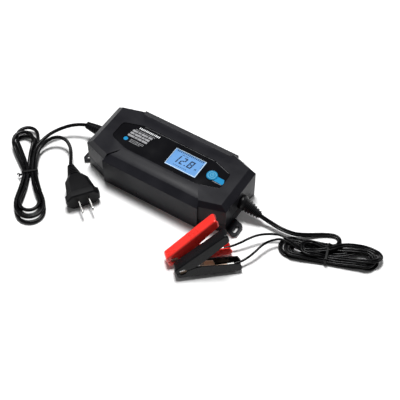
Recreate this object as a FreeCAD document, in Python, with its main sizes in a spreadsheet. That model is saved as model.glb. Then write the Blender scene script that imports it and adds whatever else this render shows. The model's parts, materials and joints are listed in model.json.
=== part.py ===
"""Smart 12 V car battery charger: a flat plastic case with a glossy label plate, a lit display and one
button, a mains cord with a two-blade plug, and a twin output lead with a red and a black battery clamp.

Frame: millimetres, +X along the case towards the output end, -Y the front long side, +Z up.
The origin is the bottom centre of the case, on the surface that it stands on.
"""
import FreeCAD
import Part
import Sketcher
import math
import os
import re

Vector = FreeCAD.Vector
doc = FreeCAD.newDocument("battery_charger")

# ---------------------------------------------------------------- driving dimensions
DIMENSIONS = {
    # case
    "case_half_length": 98.5,       # centre to the end face
    "end_half_width": 33.8,         # half of the flat end face
    "corner_x": 66.0,               # where the cut corner meets the long side
    "core_half_width": 44.2,        # base shell's long side
    "case_top": 47.0,               # deck height
    "bevel_bottom": 40.5,           # lower edge of the bevel round the deck
    "deck_half_length": 90.5,
    "deck_end_half_width": 31.8,
    "deck_corner_x": 64.6,
    "deck_half_width": 39.5,
    "wall": 2.4,
    "seam": 16.0,                   # bottom of the top cover
    "seal_height": 0.6,
    "base_bottom": 1.2,
    "foot_height": 1.2,
    # side pods
    "pod_half_length": 64.4,
    "pod_end_flare": 2.6,
    "pod_inner_half_length": 54.0,
    "pod_inner_y": 24.5,
    "pod_groove_y": 30.8,
    "pod_ledge_y": 37.0,
    "pod_outer_y": 47.0,
    "pod_groove_z": 45.3,
    "pod_shoulder_z": 40.0,
    "pod_bottom": 1.6,
    # label plate
    "label_half_length": 76.5,
    "label_end_half_width": 12.2,
    "label_corner_x": 50.0,
    "label_half_width": 20.6,
    "label_top": 46.4,
    "label_thickness": 1.2,
    "label_gap": 0.25,
    # display
    "lcd_x": 0.5,
    "lcd_y": -13.8,
    "lcd_length": 42.6,
    "lcd_width": 27.0,
    "window_gap": 0.2,
    "window_thickness": 1.2,
    "display_board_z": 34.6,
    "board_thickness": 1.6,
    # button
    "button_x": 58.6,
    "button_y": -0.2,
    "button_radius": 6.9,
    "button_gap": 0.25,
    "button_top": 47.3,
    "button_flange_z": 40.6,
    # ears
    "output_ear_reach": 14.0,
    "mains_ear_reach": 10.4,
    "ear_y": -25.5,
    "ear_half_width": 10.5,
    "ear_thickness": 3.2,
    "ear_slot_radius": 2.25,
    "ear_slot_length": 11.0,
    "output_ear_slot_reach": 8.8,
    "mains_ear_slot_reach": 5.8,
    # screws and posts
    "post_x": 80.0,
    "post_y": 23.5,
    "post_radius": 4.2,
    "screw_radius": 1.45,
    "screw_hole_radius": 1.5,
    "screw_head_radius": 2.9,
    # inlets
    "inlet_y": 2.0,
    "inlet_z": 21.6,
    "neck_radius": 4.3,
    "output_boot_radius": 8.2,
    "mains_boot_radius": 7.0,
    "boot_tip_radius": 4.6,
    "boot_length": 28.0,
    "output_boot_droop": 20.0,
    "mains_boot_droop": 2.0,
    # main board
    "main_board_z": 8.0,
    "main_board_half_length": 84.0,
    "main_board_half_width": 33.0,
    # cords
    "mains_cord_diameter": 4.4,
    "lead_diameter": 2.8,
    # plug
    "plug_thickness": 24.0,
    "plug_half_width": 20.5,
    "blade_spacing": 12.7,
    "blade_width": 6.35,
    "blade_thickness": 1.5,
    "blade_length": 18.3,
    # clamps, in the clamp's own frame: X from the nose to the tail, Z across the jaws
    "clamp_length": 75.0,
    "clamp_slope": 0.322,
    "clamp_half_width": 7.4,
    "shell_wall": 1.3,
    "grip_nose_radius": 4.0,
    "grip_edge_radius": 2.0,
    "nose_height": 7.4,
    "pivot_x": 25.0,
    "pin_radius": 2.0,
    "pin_clearance": 0.05,
    "jaw_plate": 1.1,
    "tie_width": 2.6,
    # where the clamps stand: nose, heading from nose to tail, and lean of the jaws' plane
    "red_nose_x": 62.9,
    "red_nose_y": -106.0,
    "red_heading": 45.5,
    "black_nose_x": 80.2,
    "black_nose_y": -114.2,
    "black_heading": 41.0,
    "clamp_lean": 15.0,
    # where the plug lies
    "plug_x": -109.6,
    "plug_y": -57.0,
    "plug_heading": -37.0,
    "plug_boot_length": 19.0,
    "plug_body_end": 46.0,
    "plug_face": 56.0,
}

sheet = doc.addObject("Spreadsheet::Sheet", "Dimensions")
for row, (alias, size) in enumerate(DIMENSIONS.items(), 1):
    sheet.set("A%d" % row, alias)
    sheet.set("B%d" % row, str(size))
    sheet.setAlias("B%d" % row, alias)
doc.recompute()

# ---------------------------------------------------------------- helpers
parts = {}


def expression(text):
    """The text with each dimension's name turned into a reference to its cell."""
    def cell(match):
        name = match.group(0)
        return "Dimensions." + name if name in DIMENSIONS else name
    return re.sub(r"[a-z][a-z_0-9]*", cell, text)


def value(text):
    result = sheet.evalExpression(expression(text))
    return float(getattr(result, "Value", result))


def bind(thing, prop, text):
    thing.setExpression(prop, expression(text))


def place(thing, x="0", y="0", z="0"):
    for axis, text in zip("xyz", (x, y, z)):
        bind(thing, "Placement.Base." + axis, text)
    return thing


def keep(node, thing):
    """Make the object a sub-part of the assembly, under its own name."""
    thing.Label = node
    parts[node] = thing
    return thing


def box(name, x, y, z, length, width, height):
    """A block from its lowest corner."""
    block = doc.addObject("Part::Box", name)
    bind(block, "Length", length)
    bind(block, "Width", width)
    bind(block, "Height", height)
    return place(block, x, y, z)


def centred_box(name, x, y, z, length, width, height):
    """A block whose x and y are its middle, and z its bottom."""
    return box(name, "(%s) - (%s) / 2" % (x, length), "(%s) - (%s) / 2" % (y, width), z,
               length, width, height)


TURNS = {"Z": FreeCAD.Rotation(), "X": FreeCAD.Rotation(Vector(0, 1, 0), 90),
         "Y": FreeCAD.Rotation(Vector(1, 0, 0), -90)}


def cylinder(name, x, y, z, radius, height, along="Z"):
    rod = doc.addObject("Part::Cylinder", name)
    bind(rod, "Radius", radius)
    bind(rod, "Height", height)
    rod.Placement = FreeCAD.Placement(Vector(), TURNS[along])
    return place(rod, x, y, z)


def ring(name, x, y, z, radius, thickness, along="Z"):
    loop = doc.addObject("Part::Torus", name)
    bind(loop, "Radius1", radius)
    bind(loop, "Radius2", thickness)
    loop.Placement = FreeCAD.Placement(Vector(), TURNS[along])
    return place(loop, x, y, z)


def fuse(name, pieces):
    joined = doc.addObject("Part::MultiFuse", name)
    joined.Shapes = pieces
    joined.Refine = True
    return joined


def group(name, pieces):
    bundle = doc.addObject("Part::Compound", name)
    bundle.Links = pieces
    return bundle


def cut(name, base, tools):
    tool = tools[0] if len(tools) == 1 else fuse(name + "_tools", tools)
    result = doc.addObject("Part::Cut", name)
    result.Base = base
    result.Tool = tool
    return result


def common(name, first, second):
    result = doc.addObject("Part::Common", name)
    result.Base = first
    result.Tool = second
    return result


PLANES = {"XY": (FreeCAD.Rotation(), "z", Vector(0, 0, 1)),
          "YZ": (FreeCAD.Rotation(Vector(1, 1, 1), 120), "x", Vector(1, 0, 0)),
          "XZ": (FreeCAD.Rotation(Vector(1, 0, 0), 90), "y", Vector(0, 1, 0))}


def outline(name, corners, plane="XY", at="0"):
    """A closed sketch whose corners are pairs of expressions, on a plane at a given height."""
    turn, axis, _ = PLANES[plane]
    sketch = doc.addObject("Sketcher::SketchObject", name)
    sketch.Placement = FreeCAD.Placement(Vector(), turn)
    bind(sketch, "Placement.Base." + axis, at)
    points = [Vector(value(first), value(second), 0) for first, second in corners]
    count = len(points)
    for index in range(count):
        sketch.addGeometry(Part.LineSegment(points[index], points[(index + 1) % count]), False)
    for index in range(count):
        sketch.addConstraint(Sketcher.Constraint("Coincident", index, 2, (index + 1) % count, 1))
    for index, texts in enumerate(corners):
        for kind, text in zip(("DistanceX", "DistanceY"), texts):
            number = sketch.addConstraint(Sketcher.Constraint(kind, -1, 1, index, 1, value(text)))
            sketch.setExpression("Constraints[%d]" % number, expression(text))
    return sketch


def extrude(name, corners, plane, start, end):
    """The outline made solid from one height to another along its plane's normal."""
    solid = doc.addObject("Part::Extrusion", name)
    solid.Base = outline(name + "_outline", corners, plane, start)
    solid.DirMode = "Custom"
    solid.Dir = PLANES[plane][2]
    bind(solid, "LengthFwd", "(%s) - (%s)" % (end, start))
    solid.Solid = True
    return solid


def loft(name, lower, low, upper, high):
    solid = doc.addObject("Part::Loft", name)
    solid.Sections = [outline(name + "_lower", lower, "XY", low), outline(name + "_upper", upper, "XY", high)]
    solid.Solid = True
    solid.Ruled = True
    return solid


def octagon(half_length, end_half_width, corner_x, half_width):
    quarter = [(half_length, end_half_width), (corner_x, half_width)]
    corners = quarter + [("-(%s)" % x, y) for x, y in reversed(quarter)]
    return corners + [("-(%s)" % x, "-(%s)" % y) for x, y in quarter] + \
        [(x, "-(%s)" % y) for x, y in reversed(quarter)]


def four_corners(make, name, x, y):
    """Four copies of a piece, one at each corner of a rectangle round the middle."""
    spots = [(x, y), ("-(%s)" % x, y), ("-(%s)" % x, "-(%s)" % y), (x, "-(%s)" % y)]
    return [make("%s_%d" % (name, index), *spot) for index, spot in enumerate(spots)]


# ---------------------------------------------------------------- case
def side_pod(side, sign):
    """The bumper along one long side, from the deck's edge over the shoulder down to the floor."""
    profile = [("pod_inner_y", "case_top"), ("pod_groove_y", "pod_groove_z"), ("pod_ledge_y", "pod_groove_z"),
               ("pod_outer_y", "pod_shoulder_z"), ("pod_outer_y", "pod_bottom"),
               ("pod_outer_y - wall", "pod_bottom"), ("pod_outer_y - wall", "seam"), ("pod_inner_y", "seam")]
    bar = extrude("pod_bar_" + side, [(sign + "(%s)" % y, z) for y, z in profile], "YZ",
                  "-pod_half_length - pod_end_flare", "pod_half_length + pod_end_flare")
    return common("pod_" + side, bar, pod_plan("pod_plan_" + side, sign, "0", "case_top + 1"))


def pod_plan(name, sign, low, high):
    """The ground that a pod covers: its ends slant outwards from the label's corners."""
    half = [("pod_half_length + pod_end_flare", "pod_outer_y + 5"),
            ("pod_half_length + pod_end_flare", "pod_outer_y"),
            ("pod_half_length", "deck_half_width"), ("pod_inner_half_length", "pod_inner_y")]
    corners = [("-(%s)" % x, y) for x, y in reversed(half)] + half
    return extrude(name, [(x, sign + "(%s)" % y) for x, y in corners], "XY", low, high)


def inlet_hole(name, end):
    start = "case_half_length - wall - 1" if end == "" else "-case_half_length - 1"
    return cylinder(name, start, "inlet_y", "inlet_z", "neck_radius + 0.1", "wall + 2", "X")


def cover():
    deck = octagon("deck_half_length", "deck_end_half_width", "deck_corner_x", "deck_half_width")
    rim = octagon("case_half_length", "end_half_width", "corner_x", "core_half_width")
    body = fuse("cover_body", [extrude("cover_wall", rim, "XY", "seam", "bevel_bottom"),
                               loft("cover_bevel", rim, "bevel_bottom", deck, "case_top")])
    body = cut("cover_waist", body, [pod_plan("waist_front", "-", "seam - 1", "case_top + 1"),
                                     pod_plan("waist_back", "", "seam - 1", "case_top + 1")])
    body = fuse("cover_outside", [body, side_pod("front", "-"), side_pod("back", "")])
    inner_rim = octagon("case_half_length - wall", "end_half_width - wall * 0.66", "corner_x - wall * 0.2",
                        "core_half_width - wall")
    inner_deck = octagon("deck_half_length - wall", "deck_end_half_width - wall * 0.66",
                         "deck_corner_x - wall * 0.2", "deck_half_width - wall")
    pod_room = [("0", "seam + 5"), ("pod_outer_y - wall - 3", "seam + 5"), ("pod_outer_y - wall", "seam + 8"),
                ("pod_outer_y - wall", "pod_shoulder_z - wall * 0.7"),
                ("pod_ledge_y - 1", "case_top - wall - 1.9"), ("0", "case_top - wall - 1.9")]
    hollow = [extrude("cover_room", inner_rim, "XY", "seam - 1", "bevel_bottom - wall"),
              loft("cover_roof", inner_rim, "bevel_bottom - wall", inner_deck, "case_top - wall")]
    for side, sign in (("front", "-"), ("back", "")):
        hollow.append(extrude("pod_room_" + side, [(sign + "(%s)" % y, z) for y, z in pod_room], "YZ",
                              "-pod_half_length + wall", "pod_half_length - wall"))
    body = cut("cover_shell", body, hollow)
    posts = four_corners(
        lambda name, x, y: cylinder(name, x, y, "seam", "post_radius", "case_top - seam - wall / 2"),
        "cover_post", "post_x", "post_y")
    floor = label_outline("label_shelf", "label_half_length + 2", "label_end_half_width + 1.5",
                          "label_corner_x + 1", "label_half_width + 2",
                          "case_top - wall - 1.9", "case_top - wall + 0.6")
    body = fuse("cover_with_posts", [body, floor] + posts)
    holes = four_corners(lambda name, x, y: cylinder(name, x, y, "seam - 1", "screw_hole_radius", "18"),
                         "cover_screw_hole", "post_x", "post_y")
    recess = label_outline("label_recess", "label_half_length + label_gap",
                           "label_end_half_width + label_gap",
                           "label_corner_x + label_gap", "label_half_width + label_gap",
                           "label_top - label_thickness", "case_top + 1")
    window = box("window_opening", "lcd_x - window_gap", "lcd_y - window_gap", "case_top - 8",
                 "lcd_length + 2 * window_gap", "lcd_width + 2 * window_gap", "10")
    button = cylinder("button_opening", "button_x", "button_y", "case_top - 8",
                      "button_radius + button_gap", "10")
    inlets = [inlet_hole("output_inlet", ""), inlet_hole("mains_inlet", "-")]
    keep("top_cover", cut("top_cover_shape", body, holes + [recess, window, button] + inlets))


def label_outline(name, half_length, end_half_width, corner_x, half_width, low, high):
    """The label's octagon with each corner eased by two short edges."""
    corners = octagon(half_length, end_half_width, corner_x, half_width)
    slanted, long, end = 0.14, 0.04, 0.16
    shares = [slanted, long, slanted, end] * 2
    eased = []
    for index, corner in enumerate(corners):
        back = corners[index - 1]
        ahead = corners[(index + 1) % len(corners)]
        near = shares[index - 1]
        far = shares[index]
        for first, second in ((near, 0), (near / 4, far / 4), (0, far)):
            eased.append(tuple(
                "(%s) + ((%s) - (%s)) * %g + ((%s) - (%s)) * %g" % (c, a, c, first, b, c, second)
                for c, a, b in zip(corner, back, ahead)))
    return extrude(name, eased, "XY", low, high)


def base():
    rim = octagon("case_half_length", "end_half_width", "corner_x", "core_half_width")
    inner = octagon("case_half_length - wall", "end_half_width - wall * 0.66", "corner_x - wall * 0.2",
                    "core_half_width - wall")
    top = "seam - seal_height"
    tub = cut("base_tub", extrude("base_block", rim, "XY", "base_bottom", top),
              [extrude("base_room", inner, "XY", "base_bottom + wall", "seam + 1")])
    ears = []
    slots = []
    for end, sign in (("output", ""), ("mains", "-")):
        tip = "case_half_length + %s_ear_reach" % end
        reach = [("case_half_length - 1", "ear_y + ear_half_width + 3"),
                 (tip + " - 3", "ear_y + ear_half_width"), (tip, "ear_y + ear_half_width - 3"),
                 (tip, "ear_y - ear_half_width + 4"), (tip + " - 4", "ear_y - ear_half_width"),
                 ("case_half_length - 1", "ear_y - ear_half_width + 5.5")]
        ears.append(extrude(end + "_ear", [(sign + "(%s)" % x, y) for x, y in reach], "XY",
                            "base_bottom", "base_bottom + ear_thickness"))
        spot = sign + "(case_half_length + %s_ear_slot_reach)" % end
        run = "(ear_slot_length / 2 - ear_slot_radius)"
        slots.append(centred_box(end + "_slot", spot, "ear_y", "0", "2 * ear_slot_radius", "2 * " + run, "6"))
        for place_name, shift in (("near", "+"), ("far", "-")):
            slots.append(cylinder("%s_slot_%s" % (end, place_name), spot, "ear_y %s %s" % (shift, run), "0",
                                  "ear_slot_radius", "6"))
    posts = four_corners(lambda name, x, y: cylinder(name, x, y, "base_bottom", "post_radius",
                                                     "seam - seal_height - base_bottom"),
                         "base_post", "post_x", "post_y")
    pillars = four_corners(lambda name, x, y: cylinder(name, x, y, "base_bottom", "3.2",
                                                       "main_board_z - base_bottom"),
                           "board_pillar", "main_board_half_length - 22", "main_board_half_width - 5")
    tub = fuse("base_with_posts", [tub] + ears + posts + pillars)
    holes = four_corners(lambda name, x, y: cylinder(name, x, y, "0", "screw_radius + 0.3", "seam + 2"),
                         "base_screw_hole", "post_x", "post_y")
    sinks = four_corners(lambda name, x, y: cylinder(name, x, y, "0", "screw_head_radius + 0.3", "4.6"),
                         "base_screw_sink", "post_x", "post_y")
    pilot = four_corners(lambda name, x, y: cylinder(name, x, y, "main_board_z - 5.4", "1.2", "6"),
                         "board_pilot", "main_board_half_length - 22", "main_board_half_width - 5")
    feet = four_corners(lambda name, x, y: cylinder(name, x, y, "0", "5.15", "base_bottom + 0.8"),
                        "foot_recess", "46", "30")
    inlets = [inlet_hole("output_inlet_low", ""), inlet_hole("mains_inlet_low", "-")]
    keep("base_shell", cut("base_shell_shape", tub, holes + sinks + pilot + feet + slots + inlets))
    seal_outer = octagon("case_half_length - 0.5", "end_half_width - 0.4", "corner_x - 0.2",
                         "core_half_width - 0.5")
    seal_inner = octagon("case_half_length - wall + 0.4", "end_half_width - wall * 0.66 + 0.3",
                         "corner_x - wall * 0.2 + 0.2", "core_half_width - wall + 0.4")
    keep("case_seal", cut("case_seal_shape", extrude("seal_block", seal_outer, "XY", top, "seam"),
                          [extrude("seal_room", seal_inner, "XY", "seam - 3", "seam + 3")]))
    keep("rubber_feet", group("feet", four_corners(
        lambda name, x, y: cylinder(name, x, y, "0", "5.1", "base_bottom + 0.8"), "foot", "46", "30")))
    screws = four_corners(cover_screw, "cover_screw", "post_x", "post_y")
    keep("cover_screws", group("cover_screw_set", screws))


def cover_screw(name, x, y):
    """A pan-head screw from below, with a cross recess in its head."""
    body = fuse(name + "_body", [cylinder(name + "_head", x, y, "2.4", "screw_head_radius", "2.2"),
                                 cylinder(name + "_shank", x, y, "4.4", "screw_radius", "24")])
    return cut(name, body, [centred_box(name + "_cross_a", x, y, "2.2", "3.2", "0.7", "1.2"),
                            centred_box(name + "_cross_b", x, y, "2.2", "0.7", "3.2", "1.2")])


# ---------------------------------------------------------------- face: label, display and button
def face():
    plate = label_outline("label_block", "label_half_length", "label_end_half_width", "label_corner_x",
                          "label_half_width", "label_top - label_thickness", "label_top")
    keep("label_plate", cut("label_plate_shape", plate, [
        box("label_window", "lcd_x - window_gap", "lcd_y - window_gap", "label_top - 3",
            "lcd_length + 2 * window_gap", "lcd_width + 2 * window_gap", "6"),
        cylinder("label_button_hole", "button_x", "button_y", "label_top - 3",
                 "button_radius + button_gap", "6")]))
    keep("display_window", box("window_block", "lcd_x", "lcd_y", "label_top - window_thickness", "lcd_length",
                               "lcd_width", "window_thickness"))
    lcd_low = "(label_top - window_thickness - 2.8)"
    keep("lcd_panel", box("lcd_block", "lcd_x", "lcd_y", lcd_low, "lcd_length", "lcd_width", "2.8"))
    keep("backlight", box("backlight_block", "lcd_x + 0.5", "lcd_y + 0.5",
                          "display_board_z + board_thickness", "lcd_length - 1", "lcd_width - 1",
                          lcd_low + " - display_board_z - board_thickness"))
    board_top = "(display_board_z + board_thickness)"
    frame_block = box("holder_block", "lcd_x - 2.2", "lcd_y - 2.2", board_top, "lcd_length + 4.4",
                      "lcd_width + 4.4", "case_top - wall - 2.1 - " + board_top)
    holder_room = box("holder_room", "lcd_x - 0.15", "lcd_y - 0.15", board_top + " - 1", "lcd_length + 0.3",
                      "lcd_width + 0.3", "12")
    keep("display_holder", cut("holder_shape", frame_block, [holder_room]))
    board = box("display_board_block", "lcd_x - 8", "-19", "display_board_z", "80", "38", "board_thickness")
    screw_spots = [("lcd_x - 5", "-16"), ("lcd_x - 5", "16"), ("lcd_x + 69", "-16"), ("lcd_x + 69", "16")]
    keep("display_board", cut("display_board_shape", board, [
        cylinder("display_hole_%d" % index, x, y, "display_board_z - 1", "1.3", "4")
        for index, (x, y) in enumerate(screw_spots)]))
    keep("display_screws", group("display_screw_set", [
        small_screw("display_screw_%d" % index, x, y, "display_board_z - 1.6", "display_board_z", "7.6")
        for index, (x, y) in enumerate(screw_spots)]))
    pillars = [cylinder("display_pillar_%d" % index, x, y, "display_board_z + board_thickness", "2.6",
                        "case_top - wall - 1.8 - display_board_z - board_thickness")
               for index, (x, y) in enumerate(screw_spots)]
    pilots = [cylinder("display_pilot_%d" % index, x, y, "display_board_z", "1.05", "8.2")
              for index, (x, y) in enumerate(screw_spots)]
    shell = parts.pop("top_cover")
    shell.Label = "cover_without_pillars"
    keep("top_cover", cut("top_cover_with_pillars", fuse("cover_and_pillars", [shell] + pillars), pilots))
    cap = fuse("cap_body", [cylinder("cap_disc", "button_x", "button_y", "button_flange_z", "button_radius",
                                     "button_top - button_flange_z"),
                            cylinder("cap_flange", "button_x", "button_y", "button_flange_z",
                                     "button_radius + 1.3", "2.0")])
    keep("mode_button", cap)
    keep("button_switch", cut("switch_shape", centred_box("switch_block", "button_x", "button_y", board_top,
                                                          "6.2", "6.2", "3.4"),
                              [cylinder("switch_bore", "button_x", "button_y", board_top + " + 1",
                                        "1.85", "4")]))
    keep("switch_plunger", cylinder("plunger", "button_x", "button_y", board_top + " + 2.2", "1.75",
                                    "button_flange_z - 2.2 - " + board_top))
    strip = [("lcd_x - 6.2", "display_board_z"), ("lcd_x - 6.2", "main_board_z + 4"),
             ("lcd_x - 5.4", "main_board_z + 4"), ("lcd_x - 5.4", "display_board_z")]
    keep("ribbon_cable", extrude("ribbon", strip, "XZ", "-8", "8"))


def small_screw(name, x, y, head_z, shank_z, length):
    return fuse(name, [cylinder(name + "_head", x, y, head_z, "2.2", "1.6"),
                       cylinder(name + "_shank", x, y, shank_z, "1.0", length)])


# ---------------------------------------------------------------- electronics
def electronics():
    top = "main_board_z + board_thickness"
    board = extrude("main_board_block", octagon("main_board_half_length", "20", "main_board_half_length - 14",
                                                "main_board_half_width"), "XY", "main_board_z", top)
    holes = four_corners(lambda name, x, y: cylinder(name, x, y, "main_board_z - 1", "1.3", "4"),
                         "main_board_hole", "main_board_half_length - 22", "main_board_half_width - 5")
    posts = four_corners(
        lambda name, x, y: cylinder(name, x, y, "main_board_z - 1", "post_radius + 0.4", "4"),
        "main_board_notch", "post_x", "post_y")
    keep("main_board", cut("main_board_shape", board, holes + posts))
    keep("board_screws", group("board_screw_set", four_corners(
        lambda name, x, y: small_screw(name, x, y, top, "main_board_z - 4.4", "6.4"), "board_screw",
        "main_board_half_length - 22", "main_board_half_width - 5")))
    core = cut("core_shape", centred_box("core_block", "-28", "2", top, "34", "30", "24"),
               [centred_box("core_window_a", "-28", "-7", top + " + 5", "40", "8", "14"),
                centred_box("core_window_b", "-28", "11", top + " + 5", "40", "8", "14")])
    keep("transformer_core", core)
    winding = cut("winding_shape",
                  centred_box("winding_block", "-28", "2", top + " + 5.2", "28", "25", "13.6"),
                  [centred_box("winding_core", "-28", "2", top + " + 4", "40", "10.2", "16")])
    keep("transformer_winding", winding)
    keep("input_capacitor", cylinder("bulk_can", "-58", "14", top, "9", "25"))
    keep("output_capacitors", group("output_can_set", [
        cylinder("output_can_a", "62", "-17", top, "5", "20"),
        cylinder("output_can_b", "62", "16", top, "5", "20")]))
    keep("line_filter_choke", cut("filter_shape", cylinder("filter_ring", "-58", "-13", top, "9.5", "11"),
                                  [cylinder("filter_eye", "-58", "-13", "main_board_z", "4", "16")]))
    keep("output_choke", cut("choke_shape", cylinder("choke_ring", "45", "-2", top, "10", "10"),
                             [cylinder("choke_eye", "45", "-2", "main_board_z", "4", "16")]))
    keep("suppression_capacitor", centred_box("x_cap", "-76", "-8", top, "8", "14", "13"))
    keep("line_fuse", cylinder("fuse_tube", "-78", "4", top + " + 4", "2.6", "13", "Y"))
    keep("fuse_clips", group("fuse_clip_pair", [
        fuse_clip("fuse_clip_a", "3.9"), fuse_clip("fuse_clip_b", "14.1")]))
    keep("bridge_rectifier", centred_box("bridge_block", "-44", "-24", top, "15", "4.6", "15"))
    keep("primary_heatsink", heatsink("primary_sink", "-5", "-27"))
    keep("secondary_heatsink", heatsink("secondary_sink", "22", "27"))
    keep("power_transistor", centred_box("transistor_block", "-5", "-22.2", top + " + 4", "10", "4.6", "15"))
    keep("output_rectifiers", group("rectifier_pair", [
        centred_box("rectifier_a", "13", "22.2", top + " + 4", "10", "4.6", "15"),
        centred_box("rectifier_b", "31", "22.2", top + " + 4", "10", "4.6", "15")]))
    keep("output_relay", centred_box("relay_block", "62", "-0.5", top, "12", "17", "14"))
    keep("controller_chip", centred_box("chip_block", "12", "0", top, "10", "10", "1.2"))


def fuse_clip(name, y):
    post = centred_box(name + "_block", "-78", y, "main_board_z + board_thickness", "6.6", "1.4", "7.4")
    return cut(name, post, [cylinder(name + "_seat", "-78", "0", "main_board_z + board_thickness + 4", "2.62",
                                     "20", "Y")])


def heatsink(name, x, y):
    """An upright aluminium plate with fins on its outer side."""
    top = "main_board_z + board_thickness"
    side = "-" if y.startswith("-") else ""
    plate = centred_box(name + "_plate", x, y, top, "36", "5", "22")
    slots = [centred_box("%s_slot_%d" % (name, index), "(%s) + %d" % (x, (index - 2.5) * 6),
                         "%s(abs(%s) + 1.6)" % (side, y), top + " + 3", "3.4", "3.4", "22")
             for index in range(6)]
    return cut(name, plate, slots)


# ---------------------------------------------------------------- strain reliefs
def boot(node, end):
    """A ribbed rubber strain relief: collar, tapering ribs, and a neck held in the case wall."""
    ribs = 6
    pitch = "(boot_length - 6) / %d" % ribs
    radius = node + "_radius"
    profile = [("0", "0"), (radius + " + 1.0", "0"), (radius + " + 1.0", "2.6"), (radius, "4.2"),
               (radius + " - 0.4", "6")]
    for index in range(ribs):
        taper = "(%s - (%s - boot_tip_radius) * %g)" % (radius, radius, ((index + 0.5) / ribs) ** 1.4)
        start = "6 + %d * %s" % (index, pitch)
        profile += [(taper, start), (taper, "%s + %s * 0.55" % (start, pitch)),
                    (taper + " - 1.4", "%s + %s * 0.6" % (start, pitch)),
                    (taper + " - 1.4", "%s + %s * 0.98" % (start, pitch))]
    profile += [("boot_tip_radius", "boot_length"), ("0", "boot_length")]
    relief = doc.addObject("Part::Revolution", node + "_relief")
    relief.Source = outline(node + "_profile", profile, "XZ")
    relief.Axis = Vector(0, 0, 1)
    relief.Solid = True
    droop = value(node + "_droop")
    sign = 1 if end == "" else -1
    start = Vector(sign * value("case_half_length"), value("inlet_y"), value("inlet_z"))
    relief.Placement = FreeCAD.Placement(start, FreeCAD.Rotation(Vector(0, 1, 0), sign * (90 + droop)))
    trim_start = "case_half_length - 12" if end == "" else "-case_half_length"
    trim = box(node + "_trim", trim_start, "-20", "0", "12", "40", "60")
    shaped = cut(node + "_outside", relief, [trim])
    neck_start = "case_half_length - wall - 0.5" if end == "" else "-case_half_length - 2"
    neck = cylinder(node + "_neck", neck_start, "inlet_y", "inlet_z", "neck_radius", "wall + 2.5", "X")
    flange_start = "case_half_length - wall - 2.6" if end == "" else "-case_half_length + wall + 0.1"
    flange = cylinder(node + "_flange", flange_start, "inlet_y", "inlet_z", "neck_radius + 1.2", "2.5", "X")
    collar_start = "case_half_length" if end == "" else "-case_half_length - 3.4"
    collar = cylinder(node + "_collar", collar_start, "inlet_y", "inlet_z", radius + " + 1.0", "3.4", "X")
    keep(node, fuse(node + "_shape", [shaped, neck, flange, collar]))


# ---------------------------------------------------------------- cords
def round_path(points):
    """Straight runs joined by tangent arcs, each arc as large as its two runs allow."""
    edges = []
    radii = []
    here = points[0]
    for before, corner, after in zip(points, points[1:], points[2:]):
        back = before - corner
        ahead = after - corner
        shorter = min(back.Length, ahead.Length)
        back.normalize()
        ahead.normalize()
        turn = math.pi - back.getAngle(ahead)
        inset = 0.45 * shorter
        radius = inset / math.tan(turn / 2)
        middle_way = back + ahead
        middle_way.normalize()
        middle = corner + middle_way * (radius / math.cos(turn / 2) - radius)
        start = corner + back * inset
        end = corner + ahead * inset
        edges.append(Part.LineSegment(here, start).toShape())
        edges.append(Part.Arc(start, middle, end).toShape())
        here = end
        radii.append((radius, math.degrees(turn)))
    edges.append(Part.LineSegment(here, points[-1]).toShape())
    return Part.Wire(edges), radii


def tube(node, points, diameter):
    points = [Vector(*point) for point in points]
    path, radii = round_path(points)
    first = points[1] - points[0]
    first.normalize()
    section = Part.Wire([Part.makeCircle(diameter / 2, points[0], first)])
    solid = path.makePipeShell([section], True, False)
    ideal = math.pi * diameter ** 2 / 4 * path.Length
    print("%s: length %.0f mm, volume %.4f of its section times its length, smallest radius %.1f diameters, "
          "largest turn %.0f degrees" % (node, path.Length, solid.Volume / ideal,
                                         min(radius for radius, _ in radii) / diameter,
                                         max(turn for _, turn in radii)))
    thing = doc.addObject("Part::Feature", node + "_tube")
    thing.Shape = solid
    return keep(node, thing)


MAINS_RUN = [(-126.4, 2.0, 20.6), (-134.0, -0.4, 19.6), (-141.4, -4.4, 18.2), (-147.9, -9.4, 16.8),
             (-153.5, -15.2, 15.2), (-158.2, -21.6, 13.8), (-161.9, -28.4, 12.4), (-164.4, -35.8, 11.0),
             (-165.8, -43.8, 9.6), (-166.6, -52.4, 8.2)]
PLUG_RUN = [(-159.0, -60.6, 8.6), (-160.6, -51.6, 9.8), (-159.4, -42.2, 12.2), (-154.4, -34.0, 14.8),
            (-146.4, -29.0, 16.2), (-137.0, -28.6, 15.8), (-128.6, -32.6, 14.0), (-121.4, -40.0, 12.4),
            (-115.4, -49.0, 12.0), (-109.6, -57.0, 12.0)]
OUTPUT_RUN = [(124.8, 2.0, 12.0), (132.4, 2.1, 9.8), (140.7, 2.0, 8.5), (149.0, 1.6, 7.6), (157.1, 1.6, 7.4)]
RED_RUN = [(158.6, -8.4, 11.0), (150.4, -12.2, 11.4), (142.2, -18.4, 12.6), (135.0, -26.2, 13.4),
           (129.0, -34.8, 12.4), (123.6, -43.4, 10.2), (115.0, -53.1, 7.5), (106.1, -62.1, 7.4)]
BLACK_RUN = [(160.8, -13.4, 11.0), (155.0, -19.0, 11.4), (150.4, -26.4, 12.4), (147.4, -35.2, 13.0),
             (145.4, -44.6, 12.0), (142.4, -53.6, 9.8), (136.0, -65.8, 7.5), (126.8, -73.9, 7.4)]


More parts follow.
